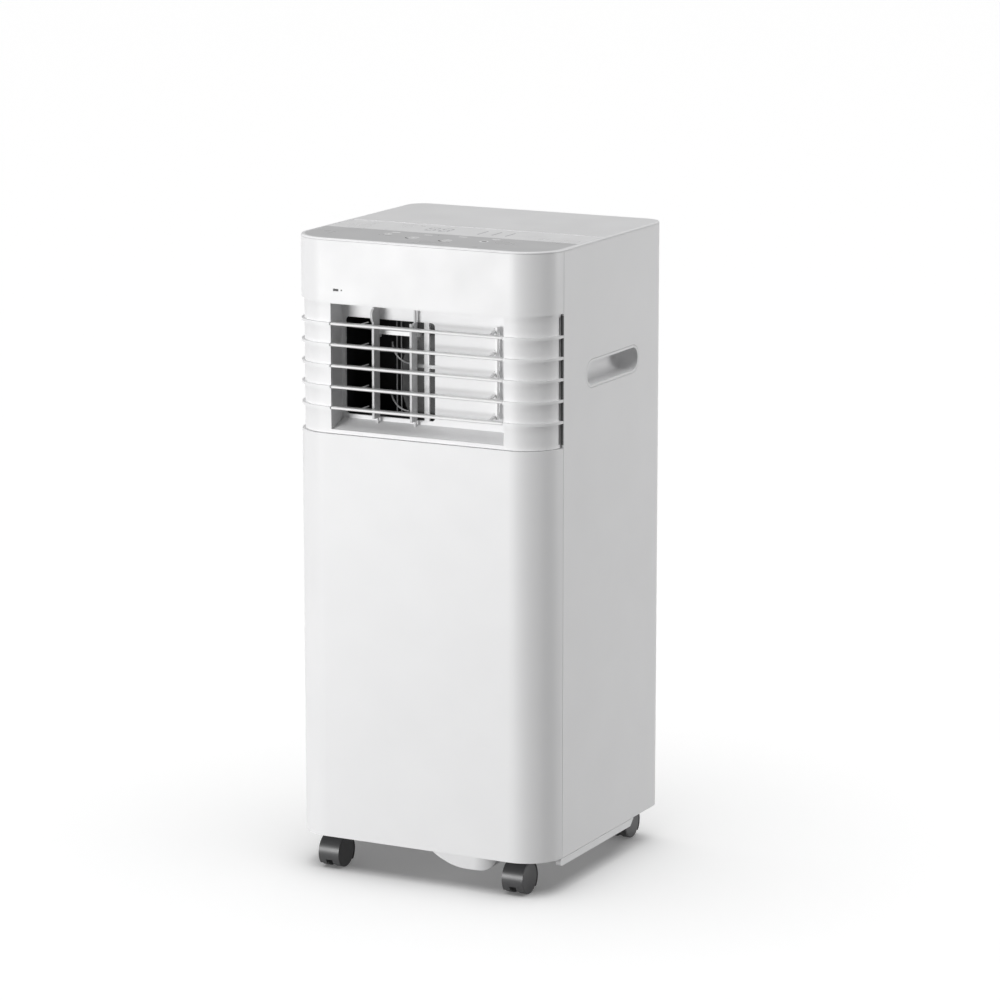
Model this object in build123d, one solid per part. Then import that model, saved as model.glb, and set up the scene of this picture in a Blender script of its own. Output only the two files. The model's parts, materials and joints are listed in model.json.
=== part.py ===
"""Portable air conditioner on four hooded casters, as separate pieces.

Millimetres, +Z up, the louvred front faces -Y. The origin is on the floor, under the middle of the casing.
"""
import os
from math import cos, radians, sin

from build123d import *

# Casing
WIDTH = 300.0
DEPTH = 282.0
FRONT = -DEPTH / 2
BACK = DEPTH / 2
CASE_BOTTOM = 38.0
CASE_TOP = 675.0
WALL = 2.5
FRONT_RADIUS = 42.0
REAR_RADIUS = 20.0
PANEL_GAP = 0.5
SEAM_Y = FRONT + 39.0
REAR_PANEL_HALF = 117.5
SHELF = 6.0
BIG = 1000.0

# Lid
LID_BOTTOM = 673.0
LID_GAP = 0.25
LID_EDGE_RADIUS = 1.5
LID_FIT = 0.4
LID_PLATE = 2.0
INLAY_RIM = 4.0
INLAY_DEPTH = 1.2
INLAY_SINK = 0.3
INLAY_GAP = 0.15
STRIP_SPLIT_Y = FRONT + 80.5
DISPLAY_BACK_Y = FRONT + 137.0

# Louvre band and its opening
BAND_BOTTOM = 471.3
BAND_TOP = 609.0
BAND_RECESS = 3.0
OPENING_HALF = 100.0
OPENING_BOTTOM = 475.5
OPENING_TOP = 607.0
REVEAL_BACK = FRONT + 23.0
RIB_HEIGHT = 2.8
SLOT_FRONT = FRONT + 34.8
SLOT_BACK = FRONT + 38.2
SLOT_MARGIN = 0.4
NOTCH_Y = FRONT + 24.5
NOTCH_SIZE = 1.6

# Receiver window and its indicator
RECEIVER_LEFT = -95.0
RECEIVER_RIGHT = -88.8
RECEIVER_BOTTOM = 620.6
RECEIVER_TOP = 623.2
INDICATOR_X = -85.4
INDICATOR_RADIUS = 0.9
WINDOW_FIT = 0.1
WINDOW_SINK = 0.4

# Slats
SLAT_COUNT = 5
SLAT_TOP_Z = 586.0
SLAT_PITCH = 22.0
SLAT_HALF = 99.0
SLAT_FRONT = FRONT + 0.5
SLAT_BACK = FRONT + 12.5
SLAT_AXIS_Y = FRONT + 6.0
SLAT_NOSE = 2.8
SLAT_TAIL = 1.2
SLAT_PIN_LENGTH = 8.0
PIN_RADIUS = 1.5
PIN_CLEARANCE = 0.06
VANE_PIN_CLEARANCE = 0.2
ARM_X = -69.5
ARM_RADIUS = 0.7
ARM_LENGTH = 16.5
CRANK_X = 78.0
CRANK_WIDTH = 2.6
CRANK_THICK = 2.4
CRANK_EYE_RADIUS = 2.2
CRANK_PIN_RADIUS = 1.2
CRANK_PIN_Y = FRONT + 24.5
CRANK_PIN_RISE = 3.0
LINK_THICK = 2.0
LINK_END = 4.0
LINK_GAP = 0.15

# Outlet chamber, vanes and guard
CHAMBER_BACK = FRONT + 31.5
CHAMBER_WALL = 2.0
CHAMBER_SIDE_GAP = 1.0
CEILING_DEPTH = 14.0
FLOOR_RISE = 9.0
HOLE_LEFT = -97.0
HOLE_RIGHT = 7.8
HOLE_BOTTOM = 488.0
HOLE_TOP = 590.2
HOLE_RADIUS = 4.0
HOLE_ARCH = ((-96.0, 586.0), (-96.0, 590.2), (-58.0, 593.4), (-50.5, 593.4), (-42.0, 590.2), (-42.0, 586.0))
ARCH_BEND = 4.0
MULLION_LEFT = -4.7
MULLION_WIDTH = 5.8
CROSSBAR_Z = 543.0
CROSSBAR_HEIGHT = 3.4
CROSSBAR_LEFT = -14.0
VANE_X = (-57.0, -13.0)
VANE_TOPS = (604.0, 590.0)
VANE_THICK = 2.4
VANE_FRONT = FRONT + 15.0
VANE_BACK = FRONT + 27.5
VANE_AXIS_Y = FRONT + 25.0
VANE_BOTTOM = 487.5
LOBE_RADIUS = 8.5
LOBE_Y = VANE_AXIS_Y - 5.0
NOTCH_DEPTH = 5.0
NOTCH_FRONT = VANE_FRONT + 1.2
NOTCH_BACK = VANE_FRONT + 7.2
VANE_LINK_Y = FRONT + 31.7
VANE_LINK_Z = 574.6
VANE_LINK_HEIGHT = 4.4
VANE_LINK_HALF = 2.2
VANE_LINK_END = 3.2
VANE_EYE_RADIUS = 1.1
LUG_HEIGHT = 2.6
GUARD_Y = FRONT + 38.0
WIRE_RADIUS = 0.8
GUARD_UPRIGHTS = (-41.0, -35.8)
GUARD_ARCS = ((-25.0, 566.0), (-27.0, 516.0))
GUARD_ARC_RADIUS = 22.0

# Side handles
HANDLE_Y = 13.0
HANDLE_Z = 538.0
HANDLE_LENGTH = 127.0
HANDLE_HEIGHT = 30.0
HANDLE_DEPTH = 29.0
HANDLE_LIP = 2.6
HANDLE_GAP = 0.8
HANDLE_FLANGE = 4.0
FLANGE_THICK = 2.0

# Rear side
GRILLE_HALF = 100.0
UPPER_GRILLE = (440.0, 640.0)
LOWER_GRILLE = (85.0, 240.0)
FRAME_GAP = 0.5
FRAME_THICK = 3.5
FRAME_BORDER = 4.0
FRAME_BARS = 2.0
GRILLE_COLUMNS = 3
GRILLE_PITCH = 8.0
GRILLE_SLOT = 5.0
GRILLE_MARGIN = 8.0
MESH_THICK = 0.8
EXHAUST_Z = 330.0
EXHAUST_RADIUS = 66.0
EXHAUST_WALL = 3.0
EXHAUST_LENGTH = 30.0
EXHAUST_FLANGE = 6.0
DRAIN_X = 90.0
DRAIN_Z = 57.0
DRAIN_LENGTH = 19.0
DRAIN_BORE = 6.5
DRAIN_OUTER = 9.0
CAP_RADIUS = 10.0
GLAND_X = -95.0
GLAND_Z = 62.0
GLAND_RADIUS = 8.0
GLAND_BORE = 4.2
GLAND_LENGTH = 10.0
SCREW_RADIUS = 3.6
SCREW_HEIGHT = 1.5
SCREW_X = 108.0
SCREW_ROWS = (50.0, 255.0, 415.0, 655.0)
SOCKET_LENGTH = 4.4
SOCKET_WIDTH = 0.9
FIT = 0.1

# Base
TRAY_THICK = 3.0
TRAY_INSET = 3.1
LIP_BOTTOM = 30.0
LIP_TOP = 37.6
LIP_FRONT = FRONT + 36.0
LIP_REAR = FRONT + 212.0
LIP_SLOPE = 8.0
LIP_BEND = 3.0
LIP_WEB = 3.0
SUMP_FRONT = FRONT + 15.0
SUMP_BACK = FRONT + 75.0
SUMP_LEFT = -5.0
SUMP_RIGHT = 86.0
SUMP_LOW_LEFT = 38.0
SUMP_LOW_RIGHT = 75.0
SUMP_BOTTOM = 19.5
SUMP_LEFT_BEND = 60.0
SUMP_RIGHT_BEND = 15.0
SUMP_NOSE = 27.0
SUMP_WALL = 2.2

# Casters
WHEEL_RADIUS = 16.6
WHEEL_WIDTH = 8.6
WHEEL_GAP = 6.4
WHEEL_EDGE = 1.0
HOOD_RADIUS = 18.2
HOOD_INNER = 17.1
HOOD_HALF = 12.0
HOOD_BOTTOM = 5.0
HOOD_NOTCH = 10.0
HOOD_TOP = 37.4
NECK_RADIUS = 7.5
NECK_BOTTOM = 24.0
AXLE_RADIUS = 2.0
STEM_RADIUS = 5.0
STEM_BOTTOM = 34.0
STEM_TOP = 55.0
SOCKET_WALL = 4.0
RUNNING_CLEARANCE = 0.06
TRAIL = 9.0
CASTERS = {
    "front_left": (-108.8, -109.0, -1),
    "front_right": (108.8, -109.0, -1),
    "rear_left": (-114.4, 110.0, 1),
    "rear_right": (114.4, 110.0, 1),
}

# Compressor and its bottle
PARTITION_Z = 408.0
PARTITION_THICK = 3.0
PAN_HALF = 122.0
PAN_FRONT = 90.0
PAN_BACK = 128.0
PAN_WALL = 2.0
PAN_HEIGHT = 9.0
COMPRESSOR_X = -62.0
COMPRESSOR_Y = -45.0
COMPRESSOR_RADIUS = 52.0
COMPRESSOR_BOTTOM = 52.0
COMPRESSOR_HEIGHT = 196.0
CAN_EDGE = 18.0
SHELL_THICK = 3.0
FOOT_ANGLES = (30, 150, 270)
FOOT_REACH = 58.0
FOOT_WIDTH = 18.0
FOOT_HOLE = 4.2
BUSH_RADIUS = 8.5
BUSH_BORE = 3.2
CORE_RADIUS = 46.0
PUMP_START = 20.0
PUMP_HEIGHT = 40.0
STATOR_START = 80.0
STATOR_HEIGHT = 75.0
CORE_SHAFT = 8.0
ACCUMULATOR_X = 16.0
ACCUMULATOR_BOTTOM = 90.0
ACCUMULATOR_HEIGHT = 130.0
ACCUMULATOR_RADIUS = 20.0
ACCUMULATOR_EDGE = 12.0

# Coils and pipes
COIL_HALF = 100.0
COIL_FRONT = 98.0
COIL_DEPTH = 22.0
COIL_STUB = 4.0
FIN_PITCH = 4.0
FIN_THICK = 0.5
TUBE_RADIUS = 3.5
TUBE_WALL = 0.7
TUBE_PITCH = 20.0
TUBE_EDGE = 6.0
EVAPORATOR = (430.0, 640.0)
CONDENSER = (78.0, 250.0)
PIPE_BEND = 12.0
PIPE_X = 128.0
PIPE_BACK_Y = 114.0

# Fans
COND_FAN = (0.0, 330.0)
COND_FAN_RADIUS = 60.0
COND_FAN_SPAN = (45.0, 92.0)
COND_SHAFT = (-15.0, 78.0)
COND_MOTOR = (-20.0, 26.0)
COND_BOX = (76.0, 72.0, 30.0, 109.0)
COND_INLET = 45.0
EVAP_FAN = (25.0, 525.0)
EVAP_FAN_RADIUS = 72.0
EVAP_FAN_SPAN = (-84.0, -40.0)
EVAP_SHAFT = (-84.0, 110.0)
EVAP_MOTOR = (-12.0, 34.0)
EVAP_BOX_HALF = 114.0
EVAP_BOX_FRONT = -96.0
EVAP_BOX_BACK = -30.0
EVAP_BOX_HEIGHT = 92.0
EVAP_INLET = 55.0
FAN_DISC = 2.0
FAN_RING = 14.0
FAN_HUB = 12.0
FAN_HUB_LENGTH = 20.0
BLADE_COUNT = 24
BLADE_SIZE = (13.0, 1.2)
BLADE_TURN = 35
SHAFT_RADIUS = 4.0
MOTOR_RADIUS = 34.0
MOTOR_EDGE = 5.0
STRAP_HALF = 58.0
SHEET = 2.0

# Electronics
CONTROL_BOX = (-70.0, 70.0, -24.0, 66.0, 630.0, 660.0)
MAIN_BOARD = (-64.0, 64.0, -18.0, 60.0, 638.0, 639.6)
DISPLAY_BOARD = (-70.0, 70.0, FRONT + 37.0, FRONT + 107.0, 667.0, 668.6)
CAPACITOR = (-40.0, 20.0, 14.0, 18.0)
TRANSFORMER = (10.0, 40.0, 0.0, 30.0, 15.4)
KEY_PLACES = ((-62.0, -84.0), (-25.0, -96.0), (15.0, -99.0), (52.0, -88.0))
KEY_RADIUS = 3.0
KEY_HEIGHT = 1.5


# Helpers

def block(x0, x1, y0, y1, z0, z1):
    """A box between two corners."""
    return Pos((x0 + x1) / 2, (y0 + y1) / 2, (z0 + z1) / 2) * Box(x1 - x0, y1 - y0, z1 - z0)


def rod(axis, radius, start, length):
    """A cylinder that runs from start along +X, +Y or +Z."""
    turn = {"X": Rot(0, 90, 0), "Y": Rot(-90, 0, 0), "Z": Rot(0, 0, 0)}[axis]
    base = Cylinder(radius, length, align=(Align.CENTER, Align.CENTER, Align.MIN))
    return Pos(*start) * turn * base


def tube(axis, outer, inner, start, length):
    """A hollow cylinder that runs from start along +X, +Y or +Z."""
    return rod(axis, outer, start, length) - rod(axis, inner, start, length)


def side_plane(x):
    """A plane across X whose own axes are Y and Z."""
    return Plane(origin=(x, 0, 0), x_dir=(0, 1, 0), z_dir=(1, 0, 0))


def footprint(inset):
    """The casing's plan outline, pulled in by inset."""
    width = WIDTH - 2 * inset
    depth = DEPTH - 2 * inset
    outline = Rectangle(width, depth)
    front = outline.vertices().filter_by_position(Axis.Y, -depth, 0)
    outline = fillet(front, FRONT_RADIUS - inset)
    rear = outline.vertices().filter_by_position(Axis.Y, depth / 2 - FIT, depth / 2 + FIT)
    return fillet(rear, REAR_RADIUS - inset)


def ring(z0, z1, outer, inner):
    """A closed wall that follows the casing's outline between two insets."""
    return Pos(0, 0, z0) * extrude(footprint(outer) - footprint(inner), z1 - z0)


def slab(z0, z1, inset):
    """A flat plate that follows the casing's outline."""
    return Pos(0, 0, z0) * extrude(footprint(inset), z1 - z0)


def front_zone():
    """Everything ahead of the seams between the front shells and the side panels."""
    return block(-WIDTH, WIDTH, -DEPTH, SEAM_Y - PANEL_GAP / 2, 0, BIG)


def slat_heights():
    """Heights of the slats and of the ribs that carry their line round the corners."""
    return [SLAT_TOP_Z - SLAT_PITCH * index for index in range(SLAT_COUNT)]


def save(name, shape):
    """Write one node."""
    os.makedirs("parts", exist_ok=True)
    export_step(shape, f"parts/{name}.step")


# Front shells

def lower_front_panel():
    """Plain wrap-round shell under the louvres, with a turned-in top shelf."""
    top = BAND_BOTTOM - PANEL_GAP
    wall = ring(CASE_BOTTOM, top, 0, WALL)
    shelf = ring(top - WALL, top, 0, SHELF)
    return (wall + shelf) & front_zone()


def upper_front_panel():
    """Shell above the louvres, with a turned-in bottom shelf and the receiver's holes."""
    bottom = BAND_TOP + PANEL_GAP
    wall = ring(bottom, LID_BOTTOM - LID_GAP, 0, WALL)
    shelf = ring(bottom, bottom + WALL, 0, SHELF)
    return ((wall + shelf) & front_zone()) - receiver_holes(0)


def receiver_holes(shrink):
    """The receiver's slot and the indicator's round hole, through the upper front panel."""
    y0 = FRONT - 1
    y1 = FRONT + WALL + 1
    left = RECEIVER_LEFT + shrink
    right = RECEIVER_RIGHT - shrink
    slot = block(left, right, y0, y1, RECEIVER_BOTTOM + shrink, RECEIVER_TOP - shrink)
    middle_z = (RECEIVER_BOTTOM + RECEIVER_TOP) / 2
    return [slot, rod("Y", INDICATOR_RADIUS - shrink, (INDICATOR_X, y0, middle_z), y1 - y0)]


def receiver_window():
    """Dark window and indicator lens that fill their holes just below the panel's face."""
    behind_face = block(-WIDTH, WIDTH, FRONT + WINDOW_SINK, 0, 0, BIG)
    return Compound([piece & behind_face for piece in receiver_holes(WINDOW_FIT)])


def louvre_band():
    """Recessed band round the outlet, with ribs in line with the slats."""
    wall = ring(BAND_BOTTOM, BAND_TOP, BAND_RECESS, BAND_RECESS + WALL)
    for height in slat_heights():
        wall += ring(height - RIB_HEIGHT / 2, height + RIB_HEIGHT / 2, 0, BAND_RECESS + WALL)
    band = wall & front_zone()
    band -= block(-OPENING_HALF, OPENING_HALF, -DEPTH, SEAM_Y, OPENING_BOTTOM, OPENING_TOP)
    for side in (-1, 1):
        band += reveal(side)
    band -= corner_slots()
    band -= rib_notches()
    for height in slat_heights():
        reach = OPENING_HALF + 2 * SLAT_PIN_LENGTH
        band -= rod("X", PIN_RADIUS + PIN_CLEARANCE, (-reach, SLAT_AXIS_Y, height), 2 * reach)
    return band


def reveal(side):
    """Upright wall at one end of the opening, which holds the slats' end pins."""
    inner = side * OPENING_HALF
    outer = side * (OPENING_HALF + WALL)
    low = OPENING_BOTTOM - CHAMBER_WALL
    return block(min(inner, outer), max(inner, outer), FRONT + BAND_RECESS, REVEAL_BACK, low, OPENING_TOP - FIT)


def corner_slots():
    """Narrow upright slots between the ribs, just ahead of both side seams."""
    edges = [BAND_TOP - RIB_HEIGHT / 2] + slat_heights() + [BAND_BOTTOM + RIB_HEIGHT / 2]
    outer = WIDTH / 2 - BAND_RECESS / 2
    inner = WIDTH / 2 - BAND_RECESS - 2 * WALL
    slots = []
    for upper, lower in zip(edges, edges[1:]):
        low = lower + RIB_HEIGHT / 2 + SLOT_MARGIN
        high = upper - RIB_HEIGHT / 2 - SLOT_MARGIN
        slots.append(block(inner, outer, SLOT_FRONT, SLOT_BACK, low, high))
        slots.append(block(-outer, -inner, SLOT_FRONT, SLOT_BACK, low, high))
    return slots


def rib_notches():
    """A small nick in the face of each rib, on both corners."""
    places = [(side * WIDTH / 2, NOTCH_Y, height) for height in slat_heights() for side in (-1, 1)]
    return [Pos(*place) * Box(NOTCH_SIZE, NOTCH_SIZE, NOTCH_SIZE) for place in places]


# Sides, back and top

def side_panel(side):
    """Flat side with the rear corner, and the hole for its handle cup."""
    wall = ring(CASE_BOTTOM, LID_BOTTOM - LID_GAP, 0, WALL)
    zone = block(REAR_PANEL_HALF + PANEL_GAP, WIDTH, SEAM_Y + PANEL_GAP / 2, DEPTH, 0, BIG)
    cut_start = WIDTH / 2 - HANDLE_DEPTH
    panel = (wall & zone) - handle_slot(cut_start, 2 * HANDLE_DEPTH, HANDLE_LENGTH, HANDLE_HEIGHT)
    return panel if side > 0 else mirror(panel, about=Plane.YZ)


def handle_slot(x0, depth, length, height):
    """A stadium-shaped prism that runs from x0 towards +X at the right handle."""
    plane = Plane(origin=(x0, HANDLE_Y, HANDLE_Z), x_dir=(0, 1, 0), z_dir=(1, 0, 0))
    return extrude(plane * SlotOverall(length, height), depth)


def handle_cup():
    """Scooped finger pocket with a thin lip, for the right side."""
    inner_x = WIDTH / 2 - HANDLE_DEPTH
    length = HANDLE_LENGTH - HANDLE_GAP
    height = HANDLE_HEIGHT - HANDLE_GAP
    body = handle_slot(inner_x, HANDLE_DEPTH, length, height)
    flange_x = WIDTH / 2 - WALL - FLANGE_THICK - 2 * FIT
    body += handle_slot(flange_x, FLANGE_THICK, length + 2 * HANDLE_FLANGE, height + 2 * HANDLE_FLANGE)
    length -= 2 * HANDLE_LIP
    height -= 2 * HANDLE_LIP
    scoop = handle_slot(inner_x + HANDLE_LIP, HANDLE_DEPTH, length, height)
    inner_edges = scoop.edges().filter_by_position(Axis.X, inner_x, inner_x + HANDLE_LIP + FIT)
    scoop = fillet(inner_edges, height / 2 - WALL / 2)
    return body - scoop


def handle_cups():
    """Both finger pockets."""
    right = handle_cup()
    return Compound([right, mirror(right, about=Plane.YZ)])


def screw_places():
    """Screw centres on the rear panel."""
    return [(side * SCREW_X, row) for row in SCREW_ROWS for side in (-1, 1)]


def rear_panel():
    """Flat back with the intake openings, exhaust hole, drain, gland and screw holes."""
    inside = BACK - WALL
    plate = block(-REAR_PANEL_HALF, REAR_PANEL_HALF, inside, BACK, CASE_BOTTOM, LID_BOTTOM - LID_GAP)
    for low, high in (UPPER_GRILLE, LOWER_GRILLE):
        plate -= block(-GRILLE_HALF, GRILLE_HALF, 0, DEPTH, low, high)
    holes = [
        (EXHAUST_RADIUS + EXHAUST_WALL + 3 * FIT, 0, EXHAUST_Z),
        (CAP_RADIUS + FRAME_GAP, DRAIN_X, DRAIN_Z),
        (GLAND_RADIUS + 2 * FIT, GLAND_X, GLAND_Z),
    ]
    for radius, x, z in holes:
        plate -= rod("Y", radius, (x, inside - 1, z), 2 * WALL)
    for x, z in screw_places():
        plate -= rod("Y", SCREW_RADIUS + 3 * FIT, (x, BACK - SCREW_HEIGHT - FIT, z), WALL)
    return plate


def rear_screws():
    """Pan-head screws, sunk just below the rear panel's face."""
    heads = []
    for x, z in screw_places():
        head = rod("Y", SCREW_RADIUS, (x, BACK - SCREW_HEIGHT - FIT, z), SCREW_HEIGHT)
        bars = Box(SOCKET_LENGTH, SCREW_HEIGHT, SOCKET_WIDTH) + Box(SOCKET_WIDTH, SCREW_HEIGHT, SOCKET_LENGTH)
        heads.append(head - Pos(x, BACK, z) * bars)
    return Compound(heads)


def exhaust_collar():
    """Round spigot that takes the exhaust hose, flush with the rear panel."""
    outer = EXHAUST_RADIUS + EXHAUST_WALL
    start = BACK - EXHAUST_LENGTH
    pipe = rod("Y", outer, (0, start, EXHAUST_Z), EXHAUST_LENGTH)
    flange_start = BACK - 2 * WALL - 2 * FIT
    pipe += rod("Y", outer + EXHAUST_FLANGE, (0, flange_start, EXHAUST_Z), WALL)
    return pipe - rod("Y", EXHAUST_RADIUS, (0, start - 1, EXHAUST_Z), 2 * EXHAUST_LENGTH)


def filter_frame(z_range):
    """Pull-out grille that carries a filter mesh."""
    half = GRILLE_HALF - FRAME_GAP
    low = z_range[0] + FRAME_GAP
    high = z_range[1] - FRAME_GAP
    frame = block(-half, half, BACK - FRAME_THICK, BACK, low, high)
    inner = half - FRAME_BORDER
    frame -= block(-inner, inner, 0, BACK - FRAME_BARS, low + FRAME_BORDER, high - FRAME_BORDER)
    return frame - grille_slots(half, low, high)


def grille_slots(half, low, high):
    """Rows of air slots, in columns with posts between them."""
    column_width = 2 * (half - GRILLE_MARGIN) / GRILLE_COLUMNS
    post = FRAME_BARS
    rows = int((high - low - 2 * GRILLE_MARGIN) // GRILLE_PITCH)
    first = (low + high) / 2 - (rows - 1) * GRILLE_PITCH / 2
    slots = []
    for row in range(rows):
        bottom = first + row * GRILLE_PITCH - GRILLE_SLOT / 2
        for column in range(GRILLE_COLUMNS):
            left = -half + GRILLE_MARGIN + column * column_width + post
            right = left + column_width - 2 * post
            slots.append(block(left, right, 0, DEPTH, bottom, bottom + GRILLE_SLOT))
    return slots


def filter_mesh(z_range):
    """Fine mesh sheet behind a filter frame's bars."""
    margin = FRAME_BORDER + 1
    half = GRILLE_HALF - margin
    front = BACK - FRAME_THICK + FIT
    return block(-half, half, front, front + MESH_THICK, z_range[0] + margin, z_range[1] - margin)


def drain_port():
    """Short pipe through the rear panel for draining the base."""
    start = BACK - DRAIN_LENGTH
    end = BACK - WALL - FIT
    pipe = rod("Y", DRAIN_OUTER, (DRAIN_X, start, DRAIN_Z), end - start)
    pipe += rod("Y", CAP_RADIUS + WALL, (DRAIN_X, end - FLANGE_THICK, DRAIN_Z), FLANGE_THICK)
    return pipe - rod("Y", DRAIN_BORE, (DRAIN_X, start - 1, DRAIN_Z), 2 * DRAIN_LENGTH)


def drain_cap():
    """Soft plug with a round head, pushed into the drain port."""
    start = BACK - DRAIN_LENGTH + 4
    head = BACK - WALL
    plug = rod("Y", DRAIN_BORE - FIT, (DRAIN_X, start, DRAIN_Z), head - start)
    plug += rod("Y", CAP_RADIUS, (DRAIN_X, head, DRAIN_Z), WALL - FIT)
    return plug - rod("Y", DRAIN_BORE - WALL, (DRAIN_X, start - 1, DRAIN_Z), DRAIN_LENGTH / 2)


def cable_gland():
    """Bush where the supply cable would enter."""
    start = BACK - GLAND_LENGTH
    bush = rod("Y", GLAND_RADIUS, (GLAND_X, start, GLAND_Z), GLAND_LENGTH)
    flange = BACK - 2 * WALL - 1
    bush += rod("Y", GLAND_RADIUS + WALL, (GLAND_X, flange, GLAND_Z), WALL + 1 - FIT)
    return bush - rod("Y", GLAND_BORE, (GLAND_X, start - 1, GLAND_Z), 2 * GLAND_LENGTH)


def top_cover():
    """Flat lid with a rounded rim, a locating plate and a shallow pocket for the two strips."""
    lid = slab(LID_BOTTOM, CASE_TOP, 0)
    lid = fillet(lid.edges().group_by(Axis.Z)[-1], LID_EDGE_RADIUS)
    lid += slab(LID_BOTTOM - LID_PLATE, LID_BOTTOM, WALL + LID_FIT)
    return lid - inlay(FRONT, DISPLAY_BACK_Y, 0)


def inlay(y0, y1, gap):
    """Part of the pocket in the lid between two depths."""
    sheet = slab(CASE_TOP - INLAY_DEPTH, CASE_TOP + 1, INLAY_RIM + gap)
    return sheet & block(-WIDTH, WIDTH, y0 + gap, y1 - gap, 0, BIG)


def strip(y0, y1):
    """One of the two thin sheets laid into the lid's pocket."""
    return inlay(y0, y1, INLAY_GAP) & block(-WIDTH, WIDTH, -DEPTH, DEPTH, 0, CASE_TOP - INLAY_SINK)


# Outlet

def slat_profile():
    """Cross-section of a slat: a blunt nose that thins towards the back."""
    points = [
        (SLAT_FRONT, -SLAT_NOSE / 2),
        (SLAT_BACK, -SLAT_TAIL / 2),
        (SLAT_BACK, SLAT_TAIL / 2),
        (SLAT_FRONT, SLAT_NOSE / 2),
    ]
    outline = Polygon(*points, align=None)
    nose = outline.vertices().filter_by_position(Axis.X, SLAT_FRONT - FIT, SLAT_FRONT + FIT)
    return fillet(nose, SLAT_NOSE / 2 - FIT)


def slat(height):
    """One horizontal slat with its end pins, crank arm and slim rear arm."""
    blade = extrude(side_plane(-SLAT_HALF) * Pos(0, height) * slat_profile(), 2 * SLAT_HALF)
    reach = OPENING_HALF + WALL - 3 * FIT
    for start in (-reach, reach - SLAT_PIN_LENGTH):
        blade += rod("X", PIN_RADIUS, (start, SLAT_AXIS_Y, height), SLAT_PIN_LENGTH)
    blade += rod("Y", ARM_RADIUS, (ARM_X, SLAT_BACK - 1, height), ARM_LENGTH)
    return blade + crank_arm(height)


def crank_arm(height):
    """Arm behind a slat, bent up to the pin that holds the link bar."""
    rise = height + CRANK_PIN_RISE
    path = Polyline((SLAT_BACK - 2, height), (SLAT_BACK + 3, height), (CRANK_PIN_Y, rise))
    arm = extrude(side_plane(CRANK_X) * trace(path, CRANK_THICK), CRANK_WIDTH)
    arm += rod("X", CRANK_EYE_RADIUS, (CRANK_X, CRANK_PIN_Y, rise), CRANK_WIDTH)
    pin_length = CRANK_WIDTH + LINK_THICK + CRANK_WIDTH / 4
    return arm + rod("X", CRANK_PIN_RADIUS, (CRANK_X, CRANK_PIN_Y, rise), pin_length)


def slat_link_bar():
    """Upright bar that ties the crank pins together."""
    heights = slat_heights()
    x0 = CRANK_X + CRANK_WIDTH + LINK_GAP
    low = heights[-1] + CRANK_PIN_RISE - LINK_END
    high = heights[0] + CRANK_PIN_RISE + LINK_END
    y0 = CRANK_PIN_Y - CRANK_EYE_RADIUS
    y1 = CRANK_PIN_Y + CRANK_EYE_RADIUS
    bar = block(x0, x0 + LINK_THICK, y0, y1, low, high)
    for height in heights:
        place = (x0 - 1, CRANK_PIN_Y, height + CRANK_PIN_RISE)
        bar -= rod("X", CRANK_PIN_RADIUS + PIN_CLEARANCE, place, 2 * LINK_THICK)
    return bar


def outlet_chamber():
    """Box behind the slats: side, top and sloping bottom walls, and the back wall with its hole."""
    side = OPENING_HALF + CHAMBER_SIDE_GAP
    outer = side + CHAMBER_WALL
    bottom = OPENING_BOTTOM - CHAMBER_WALL + WINDOW_SINK
    front = REVEAL_BACK + FIT
    ceiling = OPENING_TOP + CHAMBER_WALL
    shell = block(-outer, outer, front, CHAMBER_BACK, bottom, ceiling)
    back_face = CHAMBER_BACK - WALL
    shell -= block(-side, side, REVEAL_BACK - 1, back_face, bottom - 1, OPENING_TOP)
    shell += chamber_floor()
    shell += block(-side, side, front - CEILING_DEPTH, front, OPENING_TOP, ceiling)
    shell -= outlet_hole()
    shell += hole_bars(back_face)
    for x in VANE_X:
        shell -= rod("Z", PIN_RADIUS + VANE_PIN_CLEARANCE, (x, VANE_AXIS_Y, 0), BIG)
    return shell


def hole_bars(front):
    """Upright and short level bar in the right part of the outlet hole."""
    right = MULLION_LEFT + MULLION_WIDTH
    upright = block(MULLION_LEFT, right, front, CHAMBER_BACK, HOLE_BOTTOM - 1, HOLE_TOP + 1)
    top = CROSSBAR_Z + CROSSBAR_HEIGHT
    return upright + block(CROSSBAR_LEFT, HOLE_RIGHT + 1, front, CHAMBER_BACK, CROSSBAR_Z, top)


def chamber_floor():
    """Bottom of the chamber, which slopes down towards the front."""
    front = FRONT + BAND_RECESS + WALL + 3 * FIT
    low = OPENING_BOTTOM - CHAMBER_WALL
    points = [
        (front, low + FIT),
        (CHAMBER_BACK, low + WINDOW_SINK),
        (CHAMBER_BACK, OPENING_BOTTOM + FLOOR_RISE),
        (front, OPENING_BOTTOM),
    ]
    half = OPENING_HALF - 2 * FIT
    return extrude(side_plane(-half) * Polygon(*points, align=None), 2 * half)


def outlet_hole():
    """Rounded hole in the chamber's back wall, arched at the top beside the left vane."""
    middle_x = (HOLE_LEFT + HOLE_RIGHT) / 2
    middle_z = (HOLE_BOTTOM + HOLE_TOP) / 2
    arch = Polygon(*HOLE_ARCH, align=None)
    upper = arch.vertices().filter_by_position(Axis.Y, HOLE_TOP - FIT, BIG)
    arch = fillet(upper.filter_by_position(Axis.X, HOLE_ARCH[2][0] - 1, 0), ARCH_BEND)
    opening = RectangleRounded(HOLE_RIGHT - HOLE_LEFT, HOLE_TOP - HOLE_BOTTOM, HOLE_RADIUS)
    outline = Pos(middle_x, middle_z) * opening
    plane = Plane(origin=(0, CHAMBER_BACK + WALL, 0), x_dir=(1, 0, 0), z_dir=(0, -1, 0))
    return extrude(plane * (outline + arch), 3 * WALL)


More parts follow.
